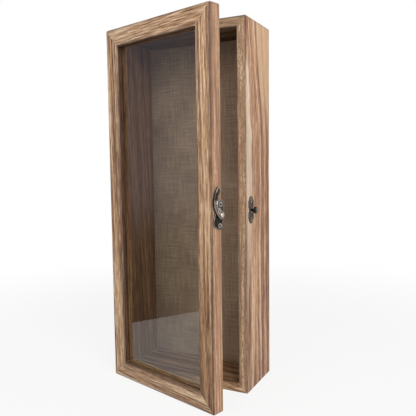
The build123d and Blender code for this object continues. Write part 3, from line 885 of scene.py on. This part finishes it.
def woven_linen():
    """Linen in plain weave, laid out in the metres of the weave map."""
    shader = Shader("coarse_linen")
    u, v, _ = shader.split(shader.add("ShaderNodeUVMap", {"uv_map": "weave"}))
    sway = shader.specks((u, v), sways) * 0.5
    warp = (u * (math.pi / weave_pitch) + sway).sine()
    weft = (v * (math.pi / weave_pitch) + sway).sine()
    warp_on_top = (warp * weft).rise(*crossing)
    height = abs(warp) * warp_on_top + abs(weft) * (1 - warp_on_top)
    warp_thread = shader.noise(shader.join(u * thread_changes, v * thread_keeps, 1))
    weft_thread = shader.noise(shader.join(u * thread_keeps, v * thread_changes, 2))
    thread = warp_thread * warp_on_top + weft_thread * (1 - warp_on_top)
    tone = (thread * 0.55 + shader.specks((u, v), lint, detail=3.0) * 0.2
            + shader.specks((u, v), faded_patches) * 0.25)
    colour = shader.shades(tone, [(0.36, dark_linen), (0.5, middle_linen), (0.64, light_linen)])
    # The gaps between the threads are darkened as painted shade.
    colour = shader.mix(height.fall(*gap_shade_depth), colour, gap_shade_linen)
    return shader.principled(Base_Color=colour, Roughness=0.92,
                             Normal=shader.bump(height, distance=0.35 * mm, strength=0.9))


print("about", round(10 * mm / weave_pitch), "threads to the centimetre")

# %% [markdown]
# The sheet gets its thickness from a Solidify modifier, which keeps the shape above simple. It was cut to
# 176.4 by 446.4 mm, with 10.5 mm squares taken out of its corners, so that the sides fold back without a
# pleat.
#
# %% The linen backing
linen_thickness = 0.8 * mm

linen_piece = new_piece("linen_backing", linen, "case", "backing_linen", woven_linen(), "backing_cloth")
thickness = linen_piece.modifiers.new("thickness", "SOLIDIFY")
thickness.thickness = linen_thickness
thickness.offset = -1

# %% [markdown]
# The latch is cast, darkened bronze. Handling has rubbed its raised borders and bosses bright and left the
# sunk fields dark, so the finish needs to know how high a point stands: its distance along the direction
# that the door's edge, or the case's side, faces. A mask from the mesh's bends would light the foot of each
# border too.
#
# %% Where metal is worn
dark_bronze = paint(34, 29, 26)
pivot_place = Vector(joints["hook_swing"]["pos_m"])
patina_and_shade_edge = (0.9 * mm, 0.3 * mm)


def wear_and_light_by_height(shader, place, wear_and_light, patina_and_shade_ring):
    """How bright the sunk field and the raised border are at a point, from a list of (height above the
    pivot in mm, field, border), which holds wear and painted light. A ring (centre, radius) keeps the field
    dark beside the border that runs round the centre, as patina and painted shade."""
    low, top = wear_and_light[0][0], wear_and_light[-1][0]
    above_low = shader.split(place)[2] - (pivot_place.z + low * mm)
    stops = [((height - low) / (top - low), (field, border, 0, 1)) for height, field, border in wear_and_light]
    field, border, _ = shader.split(shader.shades(above_low * (1 / ((top - low) * mm)), stops))
    # The field beside the border is darkened, partly as patina and partly as painted shade.
    if patina_and_shade_ring:
        centre, radius = patina_and_shade_ring
        apart = shader.measure("DISTANCE", place, centre)
        field = field * (1 - apart.rise(radius - patina_and_shade_edge[0], radius - patina_and_shade_edge[1]) * 0.9)
    return field, border


print("the hook's pivot is", round(pivot_place.z / mm, 1), "mm high")

# %% [markdown]
# The metal itself is mottled, as cast bronze is under its dark wax. Wear turns it bright and smoother at
# once. Below the sunk field nothing is worn. A dark ring round the rivet and the dark middle of each
# screw's head are partly dirt and partly painted shade; the screws carry an attribute of their own for it.
# Without a direction, only the mottle decides.
#
# %% Antique metal
mottles = 700
blotches = 160
worn_limit = (0.50, 0.66)
below_field = (0.5 * mm, 0.1 * mm)
rivet_dirt = (2.9 * mm, 4.0 * mm)


def antique_metal(name, bright, direction=None, base=0.0, sunk=0.0, raised=0.0, wear_and_light=None, patina_and_shade_ring=None,
                  dirt=None):
    """Dark bronze that turns bright between the sunk and the raised height, which are measured from base
    along direction. The list by height and the ring beside the border say how bright, and the last argument
    is the middle of a dark ring that is partly dirt and partly painted shade."""
    shader = Shader(name)
    place = shader.place()
    mottle = shader.specks(shader.split(place), mottles, detail=4.0)
    wear_and_light_mask = (mottle * 0.55 + shader.specks(shader.split(place), blotches) * 0.45).rise(*worn_limit)
    if direction:
        height = shader.measure("DOT_PRODUCT", place, direction) - base
        high = height.rise(sunk, raised)
        if wear_and_light:
            field, border = wear_and_light_by_height(shader, place, wear_and_light, patina_and_shade_ring)
            wear_and_light_mask = (field + high * (border - field)) * (wear_and_light_mask * 0.9 + 0.4)
        else:
            wear_and_light_mask = high * (wear_and_light_mask * 0.35 + 0.65)
        wear_and_light_mask = wear_and_light_mask * height.rise(sunk - below_field[0], sunk - below_field[1])
        # A dark ring round the rivet, partly dirt and partly painted shade.
        if dirt:
            wear_and_light_mask = wear_and_light_mask * (shader.measure("DISTANCE", place, dirt).rise(*rivet_dirt) * 0.9 + 0.1)
        # The screws' heads are darker in their middle, partly dirt and partly painted shade.
        caked_dirt_and_shade = shader.add("ShaderNodeAttribute", {"attribute_name": "dirt"}, output=2)
        wear_and_light_mask = wear_and_light_mask * (1 - caked_dirt_and_shade * 0.9)
    colour = shader.mix(wear_and_light_mask, dark_bronze, bright)
    return shader.principled(Base_Color=colour, Metallic=0.85, Roughness=0.5 - wear_and_light_mask * 0.18,
                             Normal=shader.bump(mottle, distance=0.06 * mm, strength=0.6))


print("bronze is mottled every", round(1 / mottles / mm, 1), "mm")

# %% [markdown]
# Heights on the latch are counted outwards from the door's edge, and on the catch from the case's side. The
# hook's border is an arc, so the dark ring beside it, partly patina and partly painted shade, is a distance
# round the arc's centre. The lists say how bright the metal is at each height. Fingers wear it bright on
# the hook's hub and lower arm, the plate's upper lobe and the catch's screw seats. The lists paint light
# too: the hook's upper arm is kept dark as painted shade, its tip is bright, partly from wear and partly as
# a painted highlight, and the catch, which faces away, stays dull as painted shade.
#
# %% Heights, wear and painted light of the castings
rubbed_bronze = paint(238, 222, 208)
# Grey and brown bronze are duller than rubbed bronze: on the catch this is painted shade, on the hinges
# their lesser wear.
dull_and_shaded_bronze = paint(138, 134, 130)
shaded_brown_bronze = paint(176, 158, 142)
edge_direction = Vector((math.cos(door_open), -math.sin(door_open), 0))
edge_rearward = Vector((math.sin(door_open), math.cos(door_open), 0))
side_direction = Vector((1, 0, 0))
edge_base = pivot_place.dot(edge_direction)
case_base = case_high.x
plate_top = 1.2 * mm
hook_top = 3.4 * mm
peg_top = 9.4 * mm
peg_head = 2 * mm
rivet_dome = 1.0 * mm
border_height = 0.4 * mm
hook_middle = pivot_place + edge_direction * hook_top
arm_centre_behind = 9.65 * mm
arm_centre_above = 14.8 * mm
arm_centre = hook_middle + edge_rearward * arm_centre_behind + Vector((0, 0, arm_centre_above))
arm_border_radius = 20.9 * mm
hook_wear_and_light = [(-6, 0.2, 1.0), (2, 0.45, 1.0), (14.5, 0.5, 1.0), (17, 0.03, 0.3), (24, 0.03, 0.3),
             (28, 0.5, 1.0)]
worn_plate = [(-17, 0.0, 0.6), (-2, 0.02, 0.6), (3, 0.12, 0.6), (18, 0.12, 0.95)]
catch_wear_and_shade = [(-17, 0.1, 0.5), (17, 0.2, 0.7)]
print("the hook's arm curves round", [round(v / mm, 1) for v in arm_centre], "mm")

# %% [markdown]
# Cast and rolled metal has no knife edges, and it is the light on its rounded edges that shows what it is.
# Its outlines come from the construction, whose meshes are loose triangles. A copy is merged, its flat
# areas become single faces, and a small live Bevel rounds what is left sharp, which a bevel of loose
# triangles couldn't.
#
# %% Copies with rounded edges
same_point = 0.002 * mm
flat_angle = math.radians(1)
rounded_angle = math.radians(40)


def merged_copy(name):
    """A node's mesh with its loose triangles joined, and flat areas as single faces."""
    shape = bmesh.new()
    shape.from_mesh(nodes[name].data)
    bmesh.ops.remove_doubles(shape, verts=shape.verts, dist=same_point)
    bmesh.ops.dissolve_limit(shape, angle_limit=flat_angle, verts=shape.verts, edges=shape.edges)
    return shape


def rounded_copy(name, new_name, body, material, radius):
    """A metal node remade with smooth faces and rounded edges."""
    shape = merged_copy(name)
    smooth_faces(shape, sharp_angle=30)
    piece = new_piece(new_name, shape, body, "antique_metal", material, name)
    rounding = piece.modifiers.new("rounding", "BEVEL")
    rounding.width = radius
    rounding.segments = 2
    rounding.limit_method = "ANGLE"
    rounding.angle_limit = rounded_angle


print("edges that bend more than", round(math.degrees(rounded_angle)), "degrees are rounded")

# %% [markdown]
# Each casting is a rounded copy of its node, in a metal that knows its own heights. The rivet's and the
# peg's heads are worn all over, so they need no list.
#
# %% Latch and catch
cast_radius = 0.12 * mm
castings = [
    ("latch_plate", "door", rubbed_bronze, edge_direction, edge_base, plate_top - border_height, plate_top,
     dict(wear_and_light=worn_plate)),
    ("latch_hook", "hook", rubbed_bronze, edge_direction, edge_base, hook_top - border_height, hook_top,
     dict(wear_and_light=hook_wear_and_light, patina_and_shade_ring=(arm_centre, arm_border_radius), dirt=hook_middle)),
    ("latch_rivet", "door", rubbed_bronze, edge_direction, edge_base, hook_top, hook_top + rivet_dome, {}),
    ("catch_plate", "case", shaded_brown_bronze, side_direction, case_base, plate_top - border_height, plate_top,
     dict(wear_and_light=catch_wear_and_shade)),
    ("catch_peg", "case", dull_and_shaded_bronze, side_direction, case_base, peg_top - peg_head, peg_top, {}),
]
for name, body, bright, direction, base, sunk, raised, wear in castings:
    metal = antique_metal(f"antique_{name}", bright, direction, base, sunk, raised, **wear)
    rounded_copy(name, f"cast_{name}", body, metal, cast_radius)

# %% [markdown]
# The butt hinges are rolled from sheet, with the same dark finish. They are handled by nobody, so the
# mottle alone brightens them. The pin belongs to the case's leaf, and the door's leaf turns on it.
#
# %% Hinges
rolled_radius = 0.1 * mm
hinge_metal = antique_metal("antique_hinge_metal", dull_and_shaded_bronze)
for which in ("lower", "upper"):
    for part, body in (("case_leaf", "case"), ("door_leaf", "door"), ("pin", "case")):
        node = f"{which}_hinge_{part}"
        rounded_copy(node, f"rolled_{node}", body, hinge_metal, rolled_radius)

# %% [markdown]
# The construction's screws are plain tapered pins. A real one has a countersunk head with a cross recess
# that a driver fits. The recess could be a Boolean cut, which leaves ragged faces on a disc. Cutting the
# disc along four pairs of planes gives a cross of faces that only needs to be pushed in and drawn together.
#
# %% A screw's head
slot_share = 0.27
span_share = 0.60
recess_share = 0.5
recess_taper = 0.55
dirt_share = 0.8
cut_tolerance = 0.0001 * mm


def screw_head(head):
    """A disc of the head's radius with a cross recess, and an attribute in its middle that marks
    darkening, partly dirt and partly painted shade.
    """
    screw = bmesh.new()
    half_slot = slot_share * head
    half_span = span_share * head
    bmesh.ops.create_circle(screw, cap_ends=True, segments=32, radius=head)
    for direction in (Vector((1, 0, 0)), Vector((0, 1, 0))):
        for distance in (-half_span, -half_slot, half_slot, half_span):
            bmesh.ops.bisect_plane(screw, geom=screw.verts[:] + screw.edges[:] + screw.faces[:],
                                   dist=cut_tolerance, plane_co=direction * distance, plane_no=direction)
    cross = [face for face in screw.faces
             if max(abs(v) for v in face.calc_center_median()) < half_span
             and min(abs(v) for v in face.calc_center_median()[:2]) < half_slot]
    sunk = bmesh.ops.extrude_face_region(screw, geom=cross)["geom"]
    bmesh.ops.delete(screw, geom=cross, context="FACES_ONLY")
    floor_points = [item for item in sunk if isinstance(item, bmesh.types.BMVert)]
    bmesh.ops.scale(screw, vec=(recess_taper, recess_taper, 1), verts=floor_points)
    bmesh.ops.translate(screw, vec=(0, 0, -recess_share * head), verts=floor_points)
    dirt = screw.verts.layers.float.new("dirt")
    for point in screw.verts:
        point[dirt] = 1.0 if point.co.to_2d().length < dirt_share * head else 0.0
    return screw


print("a recess spans", round(2 * span_share * 100), "percent of the head's radius")

# %% [markdown]
# Below the head come the cone that sinks into the wood, the shank and the point. They could be one spin of
# a profile, but the disc's rim is there already, so it is extruded down step by step, with a new radius at
# each. The thread is a small triangle that spin turns and lowers at once.
#
# %% A screw's shank and thread
point_radius = 0.05 * mm
head_edge_share = 0.12
shank_share = 0.62
screw_pitch = 1.1 * mm
steps_per_turn = 14
thread_root = 0.9
thread_crest = 1.3
thread_flank = 0.3
thread_starts = 1.6
thread_ends = 0.8


def add_shank(screw, size):
    """Extrudes the head's rim down to the screw's point."""
    profile = [(size.head, head_edge_share * size.head), (size.shank, size.head - size.shank),
               (size.shank, shank_share * size.length), (point_radius, 2 * size.shank)]
    rim = [edge for edge in screw.edges if edge.is_boundary]
    radius = size.head
    for next_radius, drop in profile:
        made = bmesh.ops.extrude_edge_only(screw, edges=rim)["geom"]
        rim = [item for item in made if isinstance(item, bmesh.types.BMEdge)]
        points = [item for item in made if isinstance(item, bmesh.types.BMVert)]
        bmesh.ops.scale(screw, vec=(next_radius / radius, next_radius / radius, 1), verts=points)
        bmesh.ops.translate(screw, vec=(0, 0, -drop), verts=points)
        radius = next_radius
    bmesh.ops.contextual_create(screw, geom=rim)
    bmesh.ops.recalc_face_normals(screw, faces=screw.faces)


def add_thread(screw, shank, from_z, to_z):
    """Adds a helical ridge round the shank."""
    turns = (from_z - to_z) / screw_pitch
    flank = thread_flank * screw_pitch
    profile = ((thread_root, flank), (thread_crest, 0), (thread_root, -flank))
    corners = [screw.verts.new((share * shank, 0, from_z + rise)) for share, rise in profile]
    section = screw.faces.new(corners)
    bmesh.ops.spin(screw, geom=[section], cent=(0, 0, 0), axis=(0, 0, 1), angle=math.tau * turns,
                   steps=round(turns * steps_per_turn), dvec=(0, 0, -screw_pitch / steps_per_turn),
                   use_duplicate=False)
    bmesh.ops.recalc_face_normals(screw, faces=screw.faces)


def wood_screw(size):
    """A screw whose head is flush with z = 0 and whose point is below."""
    screw = screw_head(size.head)
    add_shank(screw, size)
    add_thread(screw, size.shank, -thread_starts * size.head, -thread_ends * size.length)
    return screw


print("a thread rises", round(screw_pitch / mm, 1), "mm a turn")

# %% [markdown]
# Screws of one kind share a node as separate solids. A real screw stops at any turn, so the copies are
# turned by different angles. Each solid is found by walking from point to point, in the mesh's own order,
# which is the same in every run. The corners that stand highest along the screw's direction give the middle
# of its head.
#
# %% One screw for each solid
first_turn = 0.7
next_turn = 1.3
top_tolerance = 0.01 * mm


def islands(name):
    """The separate solids of a node, each as a list of its corners."""
    shape = merged_copy(name)
    met, groups = set(), []
    for start in shape.verts:
        if start in met:
            continue
        met.add(start)
        group = [start]
        for vert in group:
            for edge in vert.link_edges:
                other = edge.other_vert(vert)
                if other not in met:
                    met.add(other)
                    group.append(other)
        groups.append([vert.co.copy() for vert in group])
    shape.free()
    return groups


def copies_on(name, outwards, model):
    """One bmesh with a copy of the model on each solid of a node, its top level with the solid's top."""
    joined = bmesh.new()
    source = bpy.data.meshes.new("model")
    model.to_mesh(source)
    model.free()
    facing = outwards.to_track_quat("Z", "Y").to_matrix()
    for index, corners in enumerate(islands(name)):
        top = max(corner.dot(outwards) for corner in corners)
        rim = [corner for corner in corners if corner.dot(outwards) > top - top_tolerance]
        turned = facing @ Matrix.Rotation(first_turn + next_turn * index, 3, "Z")
        placed = Matrix.Translation(sum(rim, Vector()) / len(rim)) @ turned.to_4x4()
        before = len(joined.verts)
        joined.from_mesh(source)
        joined.verts.ensure_lookup_table()
        bmesh.ops.transform(joined, matrix=placed, verts=joined.verts[before:])
    return joined


print("there are", len(islands("latch_screws")), "latch screws")

# %% [markdown]
# Two sizes of screw are enough: the latch's and the smaller ones of the hinges. Their metal counts heights
# from the plate or leaf that they are flush with, so rims are bright and recesses dark, partly patina and
# partly painted shade.
#
# %% Cross-recessed wood screws
latch_screw = SimpleNamespace(head=2.1 * mm, shank=1.1 * mm, length=9 * mm)
hinge_screw = SimpleNamespace(head=1.9 * mm, shank=1.0 * mm, length=8 * mm)
leaf_sunk = 0.1 * mm
recess_level = -0.5 * mm
rim_level = -0.05 * mm
forward_direction = Vector((0, -1, 0))
door_rearward = Matrix.Rotation(-door_open, 3, "Z") @ Vector((0, 1, 0))
case_leaf_face = forward_direction.dot(hinge_axis) - leaf_sunk
door_leaf_face = door_rearward.dot(hinge_axis) - leaf_sunk
screws = [
    ("latch_screws", "door", edge_direction, edge_base + plate_top, latch_screw, rubbed_bronze),
    ("catch_screws", "case", side_direction, case_base + plate_top, latch_screw, rubbed_bronze),
    ("case_hinge_screws", "case", forward_direction, case_leaf_face, hinge_screw, dull_and_shaded_bronze),
    ("door_hinge_screws", "door", door_rearward, door_leaf_face, hinge_screw, dull_and_shaded_bronze),
]
for name, body, outwards, base, size, bright in screws:
    shape = copies_on(name, outwards, wood_screw(size))
    smooth_faces(shape, sharp_angle=35)
    metal = antique_metal(f"antique_{name}", bright, outwards, base, recess_level, rim_level)
    new_piece(f"cross_{name}", shape, body, "antique_metal", metal, name)


# %% [markdown]
# The stage is a pale floor that keeps the shadow, and soft light. A white background comes from Light Path,
# not from more light: what the camera, a mirror or the glass sees of floor and world is white, while the
# light that falls on the object is dimmer.
#
# %% Sheets of the stage, and what sees them
def stage_sheet(name, half_size, turn, middle, material):
    """A flat sheet that isn't part of the object."""
    shape = bmesh.new()
    bmesh.ops.create_grid(shape, x_segments=1, y_segments=1, size=1.0)
    bmesh.ops.scale(shape, vec=(*half_size, 1), verts=shape.verts)
    bmesh.ops.rotate(shape, matrix=turn, verts=shape.verts)
    bmesh.ops.translate(shape, vec=middle, verts=shape.verts)
    mesh = bpy.data.meshes.new(name)
    shape.to_mesh(mesh)
    shape.free()
    mesh.materials.append(material)
    sheet = bpy.data.objects.new(name, mesh)
    bpy.context.scene.collection.objects.link(sheet)
    print("stage:", name)
    return sheet


def seen_directly(shader):
    """1 for rays of the camera, of mirrors and through glass, and 0 for light that falls on things."""
    rays = shader.add("ShaderNodeLightPath").socket.node.outputs
    camera_ray, mirror_ray, glass_ray = [Signal(shader, rays[f"Is {kind} Ray"])
                                         for kind in ("Camera", "Glossy", "Transmission")]
    return camera_ray.most(mirror_ray).most(glass_ray)


# %% [markdown]
# Near the object the floor is mostly glow with some matt grey in it, so that the shadow stays faint but
# there. Further out it is glow alone and meets the white world without a line.
#
# %% Floor and world
floor_half_size = 6.0
glow_alone = (0.3, 0.9)
floor_grey = (0.8, 0.8, 0.8, 1)
white = (1, 1, 1, 1)
near_glow = 0.84
sky_light = 0.45


def pale_floor():
    """White to the camera, with a faint shadow near the object."""
    shader = Shader("pale_floor")
    x, y, _ = shader.split(shader.place())
    far = (x * x + y * y).root().rise(*glow_alone)
    matt = shader.add("ShaderNodeBsdfDiffuse", inputs={"Color": floor_grey})
    glow = shader.add("ShaderNodeEmission", inputs={"Color": white, "Strength": 1.0})
    share = seen_directly(shader) * (far * (1 - near_glow) + near_glow)
    return shader.ends_in(shader.add("ShaderNodeMixShader", inputs={0: share, 1: matt, 2: glow}))


stage_sheet("floor", (floor_half_size, floor_half_size), Matrix.Identity(3), (0, 0, 0), pale_floor())
sky = Shader("pale_room", bpy.data.worlds.new("pale_room"), "ShaderNodeOutputWorld")
strength = seen_directly(sky) * (1 - sky_light) + sky_light
bpy.context.scene.world = sky.ends_in(
    sky.add("ShaderNodeBackground", inputs={"Color": white, "Strength": strength}))
print("the world lights things with", sky_light, "of white")

# %% [markdown]
# Two large area lamps in front, right and left, give soft shadows. A lamp's power says little by itself,
# since its light thins out with the distance squared. So each is given the brightness that it adds to a
# white surface at the object, and its power follows: about 9.86 watts for full white at one metre.
#
# %% Lamps
watts_at_one_metre = 9.86
object_middle = Vector((0, -0.02, 0.22))


def area_lamp(name, place, size, brightness):
    """A square lamp that adds its brightness to a surface at the object that faces it."""
    place = Vector(place)
    facing = (object_middle - place).to_track_quat("-Z", "Y").to_matrix().to_4x4()
    lamp_data = bpy.data.lights.new(name, "AREA")
    lamp_data.size = size
    lamp_data.energy = brightness * watts_at_one_metre * (place - object_middle).length_squared
    lamp = bpy.data.objects.new(name, lamp_data)
    lamp.matrix_world = Matrix.Translation(place) @ facing
    bpy.context.scene.collection.objects.link(lamp)
    print(name, round(lamp_data.energy, 1), "watts")


area_lamp("key_lamp", place=(1.3, -1.1, 1.2), size=0.9, brightness=0.55)
area_lamp("fill_lamp", place=(-0.5, -1.7, 0.9), size=1.2, brightness=0.30)

# %% [markdown]
# From the camera's place the pane mirrors what stands to the left of the case: a dark room with a greyer
# haze above. A dark card stands there, which only mirrors can see, so that the linen shows through a clear
# pane and the floor's reflection shows below the card. The haze is on the card's upper part.
#
# %% Card for the pane's reflection
card_half_size = (0.4, 0.7)
card_middle = (-0.29, -0.3, 0.4)
haze_starts = (0.12, 0.25)
dark_room = (0.04, 0.045, 0.05, 1)
grey_haze = (0.41, 0.39, 0.45, 1)


def room_on_card():
    """A dark room with a greyer haze above."""
    shader = Shader("dark_card")
    height = shader.split(shader.place())[2]
    colour = shader.mix(height.rise(*haze_starts), dark_room, grey_haze)
    return shader.ends_in(shader.add("ShaderNodeEmission", inputs={"Color": colour}))


card = stage_sheet("dark_card", card_half_size, Matrix.Rotation(math.radians(90), 3, "Y"), card_middle,
                   room_on_card())
card.visible_camera = False
card.visible_diffuse = False
card.visible_shadow = False
card.visible_transmission = False
